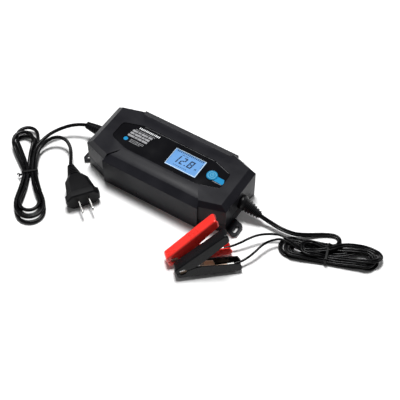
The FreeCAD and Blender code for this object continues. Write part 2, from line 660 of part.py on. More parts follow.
# Each hank has its own frame: X along it with 0 at its tie, Y to its left.
MAINS_HANK = [(-75, 3), (-70.5, 12), (-60, 16.4), (-45, 16), (-28, 13.8), (-12, 10.9), (12, 10.2), (30, 12.6),
              (45, 14.2), (60, 13.4), (70.5, 5), (75.5, -5), (73.5, -14), (66, -21), (55, -24.2), (38, -21.8),
              (20, -14.8), (6, -9.7), (-6, -9.7), (-20, -13.4), (-36, -16.6), (-50, -18.4), (-61, -16), (-70.5, -8)]
OUTPUT_HANK = [(-58.5, 2), (-57, 12), (-48, 17), (-14, 16.5), (0, 12.4), (18, 13.4), (40, 17.6), (50, 18), (60, 13),
               (65, 6), (62, -1), (54, -9), (44, -10.6), (30, -11.6), (0, -12), (-28, -13.6), (-44, -13.2),
               (-54, -8)]
OUTPUT_LOOPS = [(-58, 12), (-57, 22.5), (-48, 22.8), (-30, 25), (-14, 31), (0, 32.6), (10, 30), (15.5, 22),
                (22, 22), (32, 24.8), (44, 25.8), (56, 21.4), (63, 13), (65.5, 6), (60, 0), (-30, 4)]


def hank(node, frame, corners, height, loops=None):
    """A coiled cord's outer shape: the bundle, and lower down the loops that lie loose beside it."""
    layers = [(node + "_bundle", corners, height)]
    if loops:
        layers.append((node + "_loops", loops, "6.5"))
    solids = [extrude(name, [("%g" % x, "%g" % y) for x, y in plan], "XY", "0", top)
              for name, plan, top in layers]
    bundle = solids[0] if len(solids) == 1 else fuse(node + "_solid", solids)
    whole = group(node + "_shape", [bundle])
    whole.Placement = frame
    return keep(node, whole)


def tie(node, bundle, frame, low, high, height):
    """A tie drawn over a hank's waist, touching its top and sides."""
    band = group(node + "_band", [box(node + "_block", "-tie_width / 2", low, "0", "tie_width",
                                      "(%s) - (%s)" % (high, low), height)])
    band.Placement = frame
    keep(node, cut(node + "_loop", band, [bundle]))


def cords():
    mains = value("mains_cord_diameter")
    lead = value("lead_diameter")
    tube("mains_cord", MAINS_RUN, mains)
    frame = FreeCAD.Placement(Vector(-149.3, -88.1, 0), FreeCAD.Rotation(Vector(0, 0, 1), -46.6))
    bundle = hank("mains_hank", frame, MAINS_HANK, "13.4")
    tie("mains_tie", bundle, frame, "-10.8", "11.7", "14.3")
    tube("plug_cord", PLUG_RUN, mains)
    tube("output_cord", OUTPUT_RUN, lead * 1.5)
    frame = FreeCAD.Placement(Vector(215, 0, 0), FreeCAD.Rotation(Vector(0, 0, 1), 18.3))
    bundle = hank("output_hank", frame, OUTPUT_HANK, "12.4", OUTPUT_LOOPS)
    tie("output_tie", bundle, frame, "-13", "13.6", "13.3")
    tube("red_lead", RED_RUN, lead)
    tube("black_lead", BLACK_RUN, lead)


# ---------------------------------------------------------------- plug
def plug():
    """A two-blade plug lying on its broad side, built along +X from its cord and then laid in place."""
    ribs = 6
    pitch = "(plug_boot_length / %d)" % ribs
    profile = [("0", "0")]
    for index in range(ribs):
        swell = 4.2 + 0.85 * index
        start = "%d * %s" % (index, pitch)
        profile += [("%g" % swell, start), ("%g" % (swell + 0.5), "%s + %s * 0.6" % (start, pitch)),
                    ("%g" % (swell - 0.6), "%s + %s * 0.65" % (start, pitch)),
                    ("%g" % (swell - 0.4), "%s + %s" % (start, pitch))]
    profile += [("0", "plug_boot_length")]
    relief = doc.addObject("Part::Revolution", "plug_relief")
    relief.Source = outline("plug_relief_profile", profile, "XZ")
    relief.Axis = Vector(0, 0, 1)
    relief.Solid = True
    relief.Placement = FreeCAD.Placement(Vector(), FreeCAD.Rotation(Vector(0, 1, 0), 90))
    body = doc.addObject("Part::Loft", "plug_taper")
    stations = [("plug_boot_length - 0.4", "9.4", "7.8"),
                ("plug_boot_length + 7", "plug_half_width * 0.7", "9.4"),
                ("plug_body_end - 6", "plug_half_width * 0.82", "plug_thickness / 2 - 1.2"),
                ("plug_body_end", "plug_half_width * 0.88", "plug_thickness / 2 - 0.6")]
    body.Sections = [plug_section("plug_section_%d" % index, *station)
                     for index, station in enumerate(stations)]
    body.Solid = True
    body.Ruled = True
    flange = doc.addObject("Part::Loft", "plug_flange")
    rims = [("plug_body_end - 0.5", "plug_half_width * 0.88", "plug_thickness / 2 - 0.6"),
            ("plug_body_end + 1.5", "plug_half_width", "plug_thickness / 2"),
            ("plug_face - 1.5", "plug_half_width", "plug_thickness / 2"),
            ("plug_face", "plug_half_width - 1.5", "plug_thickness / 2 - 1.5")]
    flange.Sections = [plug_section("plug_rim_%d" % index, *rim) for index, rim in enumerate(rims)]
    flange.Solid = True
    flange.Ruled = True
    blades = []
    sockets = []
    for side, sign in (("left", ""), ("right", "-")):
        across = sign + "(blade_spacing / 2)"
        start = "plug_face - 6"
        tip = "plug_face + blade_length"
        shape = [(start, "-blade_width / 2"), (tip + " - 2", "-blade_width / 2"),
                 (tip, "-blade_width / 2 + 1.6"), (tip, "blade_width / 2 - 1.6"),
                 (tip + " - 2", "blade_width / 2"), (start, "blade_width / 2")]
        blade = extrude("blade_" + side, shape, "XZ", "%s - blade_thickness / 2" % across,
                        "%s + blade_thickness / 2" % across)
        hole = cylinder("blade_hole_" + side, tip + " - 5.6", across + " - 2", "0", "1.6", "4", "Y")
        blades.append(cut("blade_shape_" + side, blade, [hole]))
        sockets.append(box("blade_socket_" + side, start, across + " - blade_thickness / 2",
                           "-blade_width / 2", "8", "blade_thickness", "blade_width"))
    lie(keep("plug_body", cut("plug_body_shape", fuse("plug_solid", [relief, body, flange]), sockets)))
    lie(keep("plug_blades", group("blade_pair", blades)))


def plug_section(name, x, half_width, half_height):
    """An eight-sided section across the plug, with cut corners."""
    wide = "(%s)" % half_width
    tall = "(%s)" % half_height
    quarter = [(wide, tall + " * 0.45"), (wide + " - %s * 0.55" % tall, tall)]
    corners = quarter + [("-(%s)" % y, z) for y, z in reversed(quarter)] + \
        [("-(%s)" % y, "-(%s)" % z) for y, z in quarter] + [(y, "-(%s)" % z) for y, z in reversed(quarter)]
    return outline(name, corners, "YZ", x)


def lie(thing):
    """Lay a piece of the plug on the floor at the end of its cord."""
    thing.Placement = FreeCAD.Placement(Vector(), FreeCAD.Rotation(Vector(0, 0, 1), value("plug_heading")))
    return place(thing, "plug_x", "plug_y", "plug_thickness / 2")


# ---------------------------------------------------------------- battery clamps
def clamp_frame(colour):
    """The pose of a clamp: it stands on its lower grip, leans back, and points its nose outwards."""
    slope = math.atan(value("clamp_slope"))
    lean = math.radians(value("clamp_lean"))
    tilt = FreeCAD.Rotation(Vector(0, 1, 0), -math.degrees(slope))
    back = FreeCAD.Rotation(Vector(1, 0, 0), -math.degrees(lean))
    heading = FreeCAD.Rotation(Vector(0, 0, 1), value(colour + "_heading"))
    depth = (value("nose_height") - 3 * value("clamp_slope")) * math.cos(slope)
    lift = depth * math.cos(lean) + value("clamp_half_width") * math.sin(lean) + 0.02
    spot = Vector(value(colour + "_nose_x"), value(colour + "_nose_y"), lift)
    return FreeCAD.Placement(spot, heading * back * tilt)


def back_line(x):
    """The height of a grip's outer edge above the jaws' closing line."""
    return "(nose_height + clamp_slope * (%s - 3))" % x


def rounded(name, base, radius, chosen):
    """The solid with the chosen edges rounded."""
    doc.recompute()
    result = doc.addObject("Part::Fillet", name)
    result.Base = base
    result.Edges = [(number, value(radius), value(radius)) for number, edge in enumerate(base.Shape.Edges, 1)
                    if chosen([vertex.Point for vertex in edge.Vertexes])]
    return result


def across_back(points):
    """True for the edges across the nose and the tail of a grip's outer side."""
    return len(points) == 2 and abs(points[0].x - points[1].x) < 0.01 and \
        abs(points[0].z - points[1].z) < 0.01 and \
        abs(points[0].z) > value(back_line("%g" % points[0].x)) - 1.7


def along_back(points):
    """True for the long edges of a grip's outer side, round the nose to the tail."""
    return len(points) == 2 and abs(points[0].y - points[1].y) < 0.01 and \
        abs(abs(points[0].y) - value("clamp_half_width")) < 0.01 and \
        all(abs(point.z) > (1.9 if point.x < 4.4 else value(back_line("%g" % point.x)) - 2.0)
            for point in points)


def grip(name, sign):
    """One insulated grip, a channel that covers its jaw and runs back as a handle."""
    tail = "(clamp_length - 1)"
    side = [("0.9", "0.4"), ("0", "2.0"), ("0", back_line("0")), (tail, back_line(tail)),
            ("clamp_length - 3", back_line(tail) + " - 11.5"), ("pivot_x + 7", "2.4"), ("pivot_x - 1", "0.5"),
            ("14", "0.5"), ("11", "3.2"), ("5.6", "3.2"), ("4.6", "0.4")]
    room = [("2.2", "-1"), ("2.2", "4.2"), ("3.8", "nose_height - 1.7"),
            ("clamp_length + 2", back_line("(clamp_length + 2)") + " - 2"), ("clamp_length + 2", "-1")]
    shell = extrude(name + "_block", [(x, sign + "(%s)" % z) for x, z in side], "XZ",
                    "-clamp_half_width", "clamp_half_width")
    shell = rounded(name + "_nose", shell, "grip_nose_radius", across_back)
    shell = rounded(name + "_soft", shell, "grip_edge_radius", along_back)
    hollow = extrude(name + "_room", [(x, sign + "(%s)" % z) for x, z in room], "XZ",
                     "-clamp_half_width + shell_wall", "clamp_half_width - shell_wall")
    return cut(name, shell, [hollow])


def jaw(name, sign, outer, tail):
    """A stamped jaw: two toothed side plates with pivot ears, joined by a strip along the grip."""
    teeth = []
    for index in range(6):
        teeth += [("%g" % (4 + 2.4 * index), "0.3"), ("%g" % (5.2 + 2.4 * index), "1.6")]
    ear = [("20", "0.6"), ("pivot_x - 3.4", "-2.6"), ("pivot_x - 1.8", "-4.2"), ("pivot_x + 1.8", "-4.2"),
           ("pivot_x + 3.6", "-2.4"), ("pivot_x + 5.6", "3.2"), ("44", "8.6")]
    strip = back_line("44") + " - 2.3"
    plate = [("3", "0.3")] + teeth + ear + [("44", strip), ("4.2", "nose_height - 2.0"), ("3", "4.2")]
    sides = []
    for part_name, low in (("near", "-" + outer), ("far", outer + " - jaw_plate")):
        sides.append(extrude("%s_%s" % (name, part_name), [(x, sign + "(%s)" % z) for x, z in plate], "XZ",
                             low, low + " + jaw_plate"))
    spine = [("4.2", "nose_height - 2.0"), (tail, back_line(tail) + " - 2.4"),
             (tail, back_line(tail) + " - 3.5"), ("4.2", "nose_height - 3.1")]
    web = extrude(name + "_web", [(x, sign + "(%s)" % z) for x, z in spine], "XZ", "-" + outer, outer)
    hole = cylinder(name + "_hole", "pivot_x", "-8", "0", "pin_radius + pin_clearance", "16", "Y")
    return cut(name, fuse(name + "_plates", sides + [web]), [hole])


def torsion_spring(name):
    """Four close turns round the pin, with a leg towards each grip."""
    turns = [ring("%s_turn_%d" % (name, index), "pivot_x", "%g" % (-1.65 + 1.1 * index), "0",
                  "3.3", "0.6", "Y")
             for index in range(4)]
    legs = []
    for side, sign, y in (("upper", 1, 1.65), ("lower", -1, -1.65)):
        leg = cylinder("%s_%s_leg" % (name, side), "pivot_x", "%g" % y, "%g" % (3.3 * sign), "0.6", "9", "X")
        leg.Placement = FreeCAD.Placement(leg.Placement.Base,
                                          FreeCAD.Rotation(Vector(0, 1, 0), 90 - 6 * sign))
        legs.append(leg)
    return fuse(name, turns + legs)


def clamp(colour):
    frame = clamp_frame(colour)
    name = colour + "_clamp_"
    pieces = {
        name + "upper_grip": grip(name + "upper_shell", ""),
        name + "lower_grip": grip(name + "lower_shell", "-"),
        name + "upper_jaw": jaw(name + "upper_plates", "", "5.8", "46"),
        name + "lower_jaw": jaw(name + "lower_plates", "-", "4.4", "60"),
        name + "pivot_pin": group(name + "pin", [
            cylinder(name + "pin_rod", "pivot_x", "-5.95", "0", "pin_radius", "11.9", "Y")]),
        name + "spring": torsion_spring(name + "coil"),
    }
    for node, thing in pieces.items():
        keep(node, thing).Placement = frame.multiply(thing.Placement)
    return ferrule(colour, frame)


def lead_spot(x):
    """A point on the lead's line inside the lower grip, just above the contact strip."""
    return Vector(x, 0, -(value(back_line("%g" % x)) - 3.5 - value("lead_diameter") / 2 - 0.9))


def ferrule(colour, frame):
    """The crimped sleeve that joins the lead to the contact strip."""
    front = frame.multVec(lead_spot(57))
    rear = frame.multVec(lead_spot(64.5))
    way = rear - front
    sleeve = doc.addObject("Part::Feature", colour + "_sleeve")
    outer = Part.makeCylinder(value("lead_diameter") / 2 + 0.8, way.Length, front, way)
    inner = Part.makeCylinder(value("lead_diameter") / 2, way.Length - 1, rear, Vector() - way)
    sleeve.Shape = outer.cut(inner)
    print(colour, "lead ends in its ferrule at", [round(c, 1) for c in front + way * 0.2],
          "and leaves the grip at", [round(c, 1) for c in frame.multVec(lead_spot(76))])
    pivot = frame.multVec(Vector(value("pivot_x"), 0, 0))
    axis = frame.Rotation.multVec(Vector(0, 1, 0))
    print(colour, "pivot", [round(c, 4) for c in pivot], "axis", [round(c, 5) for c in axis])
    return sleeve


def clamps():
    keep("lead_ferrules", group("ferrule_pair", [clamp("red"), clamp("black")]))


# ---------------------------------------------------------------- hand-in
def write_parts():
    doc.recompute()
    for thing in doc.Objects:
        if "Invalid" in thing.State or "Error" in thing.State:
            raise RuntimeError("failed object: %s %s" % (thing.Label, thing.State))
    for node, thing in parts.items():
        if thing.Shape.isNull() or not thing.Shape.isValid():
            raise RuntimeError("bad shape: " + node)
    os.makedirs("parts", exist_ok=True)
    for node, thing in parts.items():
        thing.Shape.exportStep("parts/%s.step" % node)
    print("%d sub-parts" % len(parts))


cover()
base()
face()
electronics()
boot("output_boot", "")
boot("mains_boot", "-")
cords()
plug()
clamps()
write_parts()
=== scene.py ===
"""Looks of the battery charger: finishes of the CAD parts, free cords with their ties, print and studio."""
import json
import math

import bpy
from mathutils import Matrix, Vector


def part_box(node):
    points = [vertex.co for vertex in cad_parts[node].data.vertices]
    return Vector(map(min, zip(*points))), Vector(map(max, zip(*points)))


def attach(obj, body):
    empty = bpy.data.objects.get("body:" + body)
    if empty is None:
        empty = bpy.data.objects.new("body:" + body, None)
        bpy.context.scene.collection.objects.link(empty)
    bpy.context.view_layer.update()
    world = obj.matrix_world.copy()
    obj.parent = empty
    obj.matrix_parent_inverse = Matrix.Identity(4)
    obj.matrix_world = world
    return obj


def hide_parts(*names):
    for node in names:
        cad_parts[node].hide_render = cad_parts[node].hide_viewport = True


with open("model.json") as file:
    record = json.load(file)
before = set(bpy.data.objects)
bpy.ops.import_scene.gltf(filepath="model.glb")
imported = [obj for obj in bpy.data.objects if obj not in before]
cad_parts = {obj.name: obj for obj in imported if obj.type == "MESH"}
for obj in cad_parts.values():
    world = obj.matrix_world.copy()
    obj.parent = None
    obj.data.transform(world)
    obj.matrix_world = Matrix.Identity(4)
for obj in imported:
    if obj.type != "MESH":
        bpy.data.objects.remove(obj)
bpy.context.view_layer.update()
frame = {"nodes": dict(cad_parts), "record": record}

NODES = frame["nodes"]
MM = 0.001


# ---------------------------------------------------------------- finishes
def surface(name, colour, rough, settings=None, spread=0.08, mottle=0.12, patch=35.0, grain=1600.0, bump=0.15,
            depth=0.00006, stretch=(1, 1, 1)):
    """A finish whose colour and roughness vary over patches, under a fine raised grain."""
    material = bpy.data.materials.new(name)
    material.use_nodes = True
    tree = material.node_tree
    link = tree.links.new
    shader = tree.nodes["Principled BSDF"]
    for socket, number in (settings or {}).items():
        shader.inputs[socket].default_value = number
    place = tree.nodes.new("ShaderNodeTexCoord")
    mapping = tree.nodes.new("ShaderNodeMapping")
    mapping.inputs["Scale"].default_value = stretch
    link(place.outputs["Object"], mapping.inputs["Vector"])
    patches = tree.nodes.new("ShaderNodeTexNoise")
    patches.inputs["Scale"].default_value = patch
    patches.inputs["Detail"].default_value = 5
    link(mapping.outputs["Vector"], patches.inputs["Vector"])
    ramp = tree.nodes.new("ShaderNodeValToRGB")
    for element, share, at in zip(ramp.color_ramp.elements, (1 - mottle, 1 + mottle), (0.3, 0.7)):
        element.position = at
        element.color = [min(1.0, c * share) for c in colour] + [1.0]
    link(patches.outputs["Fac"], ramp.inputs["Fac"])
    link(ramp.outputs["Color"], shader.inputs["Base Color"])
    gloss = tree.nodes.new("ShaderNodeMapRange")
    gloss.inputs["From Min"].default_value = 0.3
    gloss.inputs["From Max"].default_value = 0.7
    gloss.inputs["To Min"].default_value = max(0.02, rough - spread)
    gloss.inputs["To Max"].default_value = min(1.0, rough + spread)
    link(patches.outputs["Fac"], gloss.inputs["Value"])
    link(gloss.outputs["Result"], shader.inputs["Roughness"])
    fine = tree.nodes.new("ShaderNodeTexNoise")
    fine.inputs["Scale"].default_value = grain
    fine.inputs["Detail"].default_value = 2
    link(mapping.outputs["Vector"], fine.inputs["Vector"])
    raised = tree.nodes.new("ShaderNodeBump")
    raised.inputs["Strength"].default_value = bump
    raised.inputs["Distance"].default_value = depth
    link(fine.outputs["Fac"], raised.inputs["Height"])
    link(raised.outputs["Normal"], shader.inputs["Normal"])
    return material


METAL = {"Metallic": 1.0}
FINISH = {
    "case_plastic": surface("case_plastic", (0.009, 0.009, 0.0115), 0.34, {"Specular IOR Level": 0.1},
                            bump=0.3, grain=1300),
    "label_film": surface("label_film", (0.004, 0.004, 0.005), 0.16, {"Specular IOR Level": 0.14}, bump=0.05),
    "window": surface("window", (0.35, 0.6, 0.95), 0.08, {"Alpha": 0.04}, bump=0.02),
    "lcd": surface("lcd", (0.05, 0.14, 0.30), 0.3, {"Emission Color": (0.12, 0.32, 0.66, 1),
                                                    "Emission Strength": 0.55}, mottle=0.06, bump=0.02),
    "backlight_white": surface("backlight_white", (0.8, 0.88, 0.95), 0.4),
    "button_cyan": surface("button_cyan", (0.006, 0.17, 0.34), 0.4, {"Specular IOR Level": 0.1}, mottle=0.06),
    "rubber_black": surface("rubber_black", (0.004, 0.004, 0.0046), 0.32, {"Specular IOR Level": 0.18},
                            bump=0.3),
    "seal_rubber": surface("seal_rubber", (0.002, 0.002, 0.002), 0.6),
    "steel_screw": surface("steel_screw", (0.55, 0.56, 0.58), 0.3, METAL, grain=700),
    "pcb": surface("pcb", (0.02, 0.16, 0.06), 0.35, grain=500),
    "component_black": surface("component_black", (0.02, 0.02, 0.02), 0.5),
    "component_yellow": surface("component_yellow", (0.7, 0.5, 0.06), 0.45),
    "ferrite": surface("ferrite", (0.06, 0.06, 0.065), 0.55, grain=900, bump=0.4),
    "copper": surface("copper", (0.72, 0.30, 0.13), 0.32, METAL, grain=900),
    "aluminium": surface("aluminium", (0.70, 0.71, 0.73), 0.38, METAL, stretch=(1, 1, 0.08)),
    "sleeve": surface("sleeve", (0.03, 0.04, 0.12), 0.25),
    "glass_tube": surface("glass_tube", (0.8, 0.86, 0.9), 0.06, {"Alpha": 0.3}, bump=0.02),
    "clip_metal": surface("clip_metal", (0.72, 0.58, 0.30), 0.3, METAL),
    "white_plastic": surface("white_plastic", (0.75, 0.75, 0.72), 0.45),
    "cord_black": surface("cord_black", (0.003, 0.003, 0.0034), 0.26, {"Specular IOR Level": 0.12},
                          bump=0.25, grain=1100),
    "plug_black": surface("plug_black", (0.006, 0.006, 0.0066), 0.4, {"Specular IOR Level": 0.1}, bump=0.3),
    "nickel": surface("nickel", (0.66, 0.65, 0.63), 0.22, METAL, patch=120, grain=900, bump=0.1),
    "grip_red": surface("grip_red", (0.80, 0.026, 0.018), 0.3,
                        {"Specular IOR Level": 0.6, "Coat Weight": 0.3}, mottle=0.08, bump=0.2),
    "grip_black": surface("grip_black", (0.006, 0.006, 0.007), 0.28, {"Specular IOR Level": 0.2}, bump=0.2),
    "jaw_steel": surface("jaw_steel", (0.62, 0.62, 0.62), 0.26, METAL, patch=160, grain=600, bump=0.2,
                         stretch=(1, 1, 0.3)),
    "jaw_copper": surface("jaw_copper", (0.95, 0.68, 0.52), 0.38, {"Metallic": 0.25}, patch=160, grain=600,
                          bump=0.2, stretch=(1, 1, 0.3)),
    "ferrule_tin": surface("ferrule_tin", (0.36, 0.36, 0.35), 0.5, METAL, grain=500, bump=0.5),
    "tie_black": surface("tie_black", (0.0015, 0.0015, 0.0015), 0.5, {"Specular IOR Level": 0.15}, bump=0.2),
}
EDGES = {"top_cover": 0.8, "base_shell": 0.7, "plug_body": 1.4, "plug_blades": 0.25, "label_plate": 0.3,
         "mode_button": 0.6, "rubber_feet": 0.4, "output_boot": 0.4, "mains_boot": 0.4, "cover_screws": 0.2}
for colour in ("red", "black"):
    for half in ("upper", "lower"):
        EDGES["%s_clamp_%s_grip" % (colour, half)] = 0.35
        EDGES["%s_clamp_%s_jaw" % (colour, half)] = 0.2


def finish_node(node, slot, edge=None):
    """Give a CAD part its finish and, where asked, softly rounded edges."""
    thing = NODES[node]
    if not thing.material_slots:
        thing.data.materials.append(FINISH[slot])
    for holder in thing.material_slots:
        holder.material = FINISH[slot]
    if edge is None:
        return
    weld = thing.modifiers.new("join", "WELD")
    weld.merge_threshold = 0.00001
    flat = thing.modifiers.new("plain_faces", "DECIMATE")
    flat.decimate_type = "DISSOLVE"
    flat.angle_limit = math.radians(1)
    bevel = thing.modifiers.new("soft_edges", "BEVEL")
    bevel.width = edge * MM
    bevel.segments = 3
    bevel.limit_method = "ANGLE"
    bevel.angle_limit = math.radians(25)
    normals = thing.modifiers.new("shading", "WEIGHTED_NORMAL")
    normals.keep_sharp = False


for part in frame["record"]["subparts"]:
    finish_node(part["node"], part["material_slot"], EDGES.get(part["node"]))


# ---------------------------------------------------------------- making pieces
def piece(name, corners, faces, slot, finish=None):
    """A mesh of the charger's own, with its corners in millimetres."""
    mesh = bpy.data.meshes.new(name)
    mesh.from_pydata([Vector(corner) * MM for corner in corners], [], faces)
    mesh.validate()
    mesh.materials.append(finish or FINISH[slot])
    thing = bpy.data.objects.new(name, mesh)
    bpy.context.scene.collection.objects.link(thing)
    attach(thing, "charger")
    return thing


def plates(name, outlines, low, high, slot, finish=None):
    """Thin plates that stand side by side, each with its own outline."""
    corners = []
    faces = []
    for outline in outlines:
        start = len(corners)
        count = len(outline)
        corners += [(x, y, low) for x, y in outline] + [(x, y, high) for x, y in outline]
        faces.append(tuple(range(start + count, start + 2 * count)))
        faces.append(tuple(range(start + count - 1, start - 1, -1)))
        for index in range(count):
            after = (index + 1) % count
            faces.append((start + index, start + after, start + count + after, start + count + index))
    return piece(name, corners, faces, slot, finish)


def bar(x, y, length, width, slant=0.0):
    """A plate's outline from its lower left corner, leaning towards +X by the slant."""
    return [(x, y), (x + length, y), (x + length + slant * width, y + width), (x + slant * width, y + width)]


def disc(x, y, radius, count=40):
    """A round plate's outline."""
    return [(x + radius * math.cos(math.tau * k / count), y + radius * math.sin(math.tau * k / count))
            for k in range(count)]


def arc_bar(x, y, inner, outer, start, end, count=16):
    """The outline of part of a ring, between two angles in degrees."""
    angles = [math.radians(start + (end - start) * k / count) for k in range(count + 1)]
    return [(x + inner * math.cos(a), y + inner * math.sin(a)) for a in angles] + \
        [(x + outer * math.cos(a), y + outer * math.sin(a)) for a in reversed(angles)]


def sweep(name, path, section, slot, closed=False):
    """A section drawn along a path; the section's first axis keeps to the path's own plane or side."""
    path = [Vector(point) for point in path]
    count = len(path)
    corners = []
    faces = []
    for index, point in enumerate(path):
        before = path[index - 1] if closed or index else point
        after = path[(index + 1) % count] if closed or index < count - 1 else point
        along = (after - before).normalized()
        side = section[1](point, along).normalized()
        up = along.cross(side).normalized()
        corners += [point + side * a + up * b for a, b in section[0]]
    edge = len(section[0])
    for index in range(count if closed else count - 1):
        here = index * edge
        there = (index + 1) % count * edge
        for k in range(edge):
            after = (k + 1) % edge
            faces.append((here + k, here + after, there + after, there + k))
    if not closed:
        faces.append(tuple(reversed(range(edge))))
        faces.append(tuple(range((count - 1) * edge, count * edge)))
    thing = piece(name, corners, faces, slot)
    for polygon in thing.data.polygons:
        polygon.use_smooth = True
    bevel = thing.modifiers.new("soft_edges", "BEVEL")
    bevel.width = 0.00012
    bevel.segments = 2
    bevel.limit_method = "ANGLE"
    bevel.angle_limit = math.radians(50)
    thing.modifiers.new("shading", "WEIGHTED_NORMAL")
    return thing


# ---------------------------------------------------------------- cords
MAINS_RUN = [(-126.4, 2.0, 20.6), (-134.0, -0.4, 19.6), (-141.4, -4.4, 18.2), (-147.9, -9.4, 16.8),
             (-153.5, -15.2, 15.2), (-158.2, -21.6, 13.8), (-161.9, -28.4, 12.4), (-164.4, -35.8, 11.0),
             (-165.8, -43.8, 9.6), (-166.6, -52.4, 8.2)]
PLUG_RUN = [(-159.0, -60.6, 8.6), (-160.6, -51.6, 9.8), (-159.4, -42.2, 12.2), (-154.4, -34.0, 14.8),
            (-146.4, -29.0, 16.2), (-137.0, -28.6, 15.8), (-128.6, -32.6, 14.0), (-121.4, -40.0, 12.4),
            (-115.4, -49.0, 12.0), (-109.6, -57.0, 12.0)]
OUTPUT_RUN = [(124.8, 2.0, 12.0), (132.4, 2.1, 9.8), (140.7, 2.0, 8.5), (149.0, 1.6, 7.6), (157.1, 1.6, 7.4)]
RED_RUN = [(158.6, -8.4, 11.0), (150.4, -12.2, 11.4), (142.2, -18.4, 12.6), (135.0, -26.2, 13.4),
           (129.0, -34.8, 12.4), (123.6, -43.4, 10.2), (115.0, -53.1, 7.5), (106.1, -62.1, 7.4)]
BLACK_RUN = [(160.8, -13.4, 11.0), (155.0, -19.0, 11.4), (150.4, -26.4, 12.4), (147.4, -35.2, 13.0),
             (145.4, -44.6, 12.0), (142.4, -53.6, 9.8), (136.0, -65.8, 7.5), (126.8, -73.9, 7.4)]
MAINS_DIAMETER = 4.4
LEAD_DIAMETER = 2.8
LEAD_SHIFT = 1.45
HALF_STEP = math.cos(math.radians(18))


def fold(middle, near, far, height, way):
    """The half turn at a hank's end, as eight points of the cord's own line."""
    radius = (far - near) / 2 / HALF_STEP
    heights = height if isinstance(height, tuple) else (height,) * 6
    lead = middle - way * abs(radius) * 0.6
    points = [(lead, near, heights[0])]
    for step in range(6):
        angle = math.radians(36 * step - 90)
        points.append((middle + way * abs(radius) * math.cos(angle),
                       (near + far) / 2 + radius * math.sin(angle), heights[step]))
    return points + [(lead, far, heights[5])]


# Each hank has its own frame: its first axis along it with 0 at its tie, its second to the left.
MAINS_HANK = ([(-20, 5.4, 7.4), (0, 2.2, 6.5), (20, 3.2, 6.5), (34, 4.9, 6.5)]
              + fold(46, 6.6, -16.4, 6.5, 1)
              + [(33, -12.8, 6.5), (18, -6.4, 6.5), (0, -2.2, 6.5), (-18, -3.6, 6.5), (-36, -7, 6.5)]
              + fold(-60, -10.4, 15, 6.5, -1)
              + [(-44, 14.6, 5.2), (-29, 12, 3), (-13, 8.2, 2.3), (0, 6.6, 2.25), (15, 7.6, 2.25),
                 (32, 9.8, 2.25)]
              + fold(56.5, 11, -21.4, 2.25, 1)
              + [(40, -19.8, 2.25), (20, -12.6, 2.25), (0, -6.6, 2.25), (-16, -7.2, 2.25), (-36, -10.2, 2.25)]
              + fold(-52, -12, 11, 2.25, -1)
              + [(-38, 8.4, 2.25), (-22, 4.8, 2.25), (0, 2.2, 2.25), (18, 3.2, 2.25), (34, 5.2, 2.25)]
              + fold(51, 6.4, -16.8, 2.25, 1)
              + [(38, -14.2, 2.25), (18, -6.4, 2.25), (0, -2.2, 2.25), (-13, -0.6, 2.3), (-25, 2, 5.4),
                 (-35, 5.6, 9.2)]
              + fold(-50.5, 8.6, -15.2, (11, 11.2, 11.2, 11.2, 10.8, 9.6), -1)
              + [(-35, -13.9, 7.6), (-22, -10.8, 6.1), (-8, -7.4, 6.4), (0, -6.6, 6.5), (16, -11.4, 6.5),
                 (34, -18.8, 6.5)]
              + fold(51.5, -21.2, 11.3, 6.5, 1)
              + [(34, 9.6, 6.5), (16, 7.6, 6.5), (0, 6.7, 6.5), (-13, 8.8, 7)])
OUTPUT_HANK = ([(-42, 18, 6.4), (-31, 20.6, 4.8), (-20.5, 24.4, 2.9), (-9, 28.6, 1.7)]
               + fold(4, 30, 15.2, 1.45, 1)
               + [(-8, 14.8, 1.45), (-18, 15, 1.45), (-28, 14.8, 1.45)]
               + fold(-42.5, 14.2, -9.8, 1.45, -1)
               + [(-28, -9.6, 1.45), (-14, -9.2, 1.45), (0, -8.7, 1.45), (16, -8.4, 1.45), (32, -7, 1.45)]
               + fold(48, -5.4, 13.6, 1.45, 1)
               + [(34, 12.6, 1.45), (17, 10.3, 1.45), (0, 8.7, 1.45), (-13, 8.8, 1.7), (-24, 9.4, 3.5)]
               + fold(-34, 9.2, -6.4, 4.3, -1)
               + [(-24, -4.8, 4.2), (-12, -3.1, 2.3), (0, -2.9, 1.45), (13, -2.4, 2.2), (24, -2.6, 4),
                  (33, -3.1, 4.3)]
               + fold(43, -3.4, 12.2, 4.3, 1)
               + [(33, 10.6, 4.3), (24, 6.8, 3.9), (13, 3.4, 2.2), (0, 2.9, 1.45), (-9, 3.2, 2.6),
                  (-18, 4.2, 5.2), (-28, 6, 7.1)]
               + fold(-39, 7, -10.2, 7.1, -1)
               + [(-28, -10.4, 6.9), (-14, -9.2, 5), (0, -8.7, 4.3), (15, -8.4, 4.8), (31, -7.6, 6.8)]
               + fold(44.6, -7, 12.2, 7.3, 1)
               + [(32, 11.8, 7.4), (15, 9.9, 5.2), (0, 8.7, 4.3), (-7, 8.7, 5.8), (-13, 8.9, 8.6)]
               + fold(-22, 8.9, -6.4, 10, -1)
               + [(-13, -5.2, 8.7), (-7, -3.6, 6), (0, -2.9, 4.3), (13, -2.4, 5.4), (27, -2.8, 8.4),
                  (40, -3, 10.2), (51, -1.6, 10.8), (58.6, 2.2, 10.6), (62, 9, 6.8), (59.2, 16.8, 3),
                  (50, 21.4, 1.45), (39.6, 22.8, 1.45), (30, 21.6, 2.4), (21, 18.2, 5.4), (12.6, 12.8, 8.6),
                  (6, 8.2, 8.6), (-2, 4.2, 8), (-12, 1, 7.2), (-22, -1.4, 7.2), (-31, -0.8, 6.9),
                  (-39, 0.8, 8.6), (-47, 4.4, 10.8)])
MAINS_FRAME = Matrix.Translation((-149.3, -88.1, 0)) @ Matrix.Rotation(math.radians(-46.6), 4, "Z")
OUTPUT_FRAME = Matrix.Translation((215, 0, 0)) @ Matrix.Rotation(math.radians(18.3), 4, "Z")


